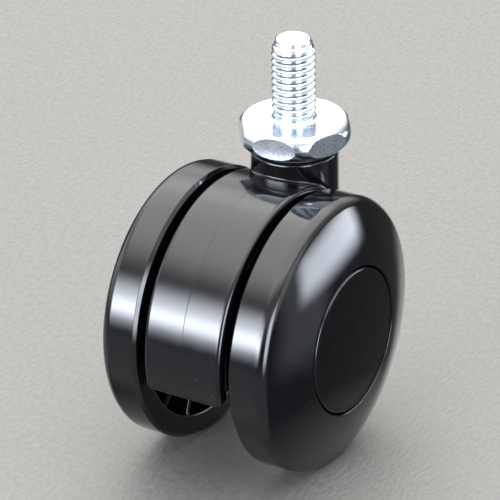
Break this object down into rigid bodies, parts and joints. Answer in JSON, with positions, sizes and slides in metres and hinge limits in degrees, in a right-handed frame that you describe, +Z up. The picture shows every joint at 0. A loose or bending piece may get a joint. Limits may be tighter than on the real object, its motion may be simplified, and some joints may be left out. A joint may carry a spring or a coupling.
{
  "type": "chair caster wheel",
  "caption": "Hooded twin-wheel swivel caster in gloss black plastic with domed wheels and a zinc-plated threaded stem with a hexagonal collar.",
  "frame": {"origin": "on the floor, below the middle of the axle", "axes": "+Z up along the stem; Y along the wheel axle, +Y to the left wheel; +X from the axle towards the stem, so the caster trails towards -X"},
  "size_m": [0.05, 0.0416, 0.0733],
  "materials": {
    "hood_plastic": "mirror-gloss moulded black nylon",
    "wheel_plastic": "mirror-gloss moulded black nylon",
    "cap_plastic": "gloss moulded black plastic",
    "bush_plastic": "natural acetal, moulded",
    "washer_plastic": "black acetal, moulded",
    "zinc_plated_steel": "bright blue-white zinc plate over turned steel",
    "axle_steel": "plain turned steel",
    "washer_steel": "stamped steel",
    "spring_steel": "dark phosphated spring steel"
  },
  "bodies": {
    "stem": {"threaded_stem": "zinc_plated_steel", "stem_thrust_washer": "washer_steel", "stem_lower_washer": "washer_steel", "stem_retaining_clip": "spring_steel"},
    "housing": {"hood_body": "hood_plastic", "stem_bush": "washer_plastic", "axle_pin": "axle_steel", "left_spacer_washer": "washer_plastic", "right_spacer_washer": "washer_plastic", "left_axle_lock": "spring_steel", "right_axle_lock": "spring_steel"},
    "left_wheel_unit": {"left_wheel": "wheel_plastic", "left_hub_cap": "cap_plastic", "left_wheel_bush": "bush_plastic"},
    "right_wheel_unit": {"right_wheel": "wheel_plastic", "right_hub_cap": "cap_plastic", "right_wheel_bush": "bush_plastic"}
  },
  "joints": [
    {"name": "swivel", "type": "hinge", "parent": "stem", "child": "housing", "pos_m": [0.0137, 0, 0.04], "axis": [0, 0, 1], "continuous": true},
    {"name": "left_wheel_spin", "type": "hinge", "parent": "housing", "child": "left_wheel_unit", "pos_m": [0, 0.015, 0.025], "axis": [0, 1, 0], "continuous": true},
    {"name": "right_wheel_spin", "type": "hinge", "parent": "housing", "child": "right_wheel_unit", "pos_m": [0, -0.015, 0.025], "axis": [0, 1, 0], "continuous": true}
  ]
}
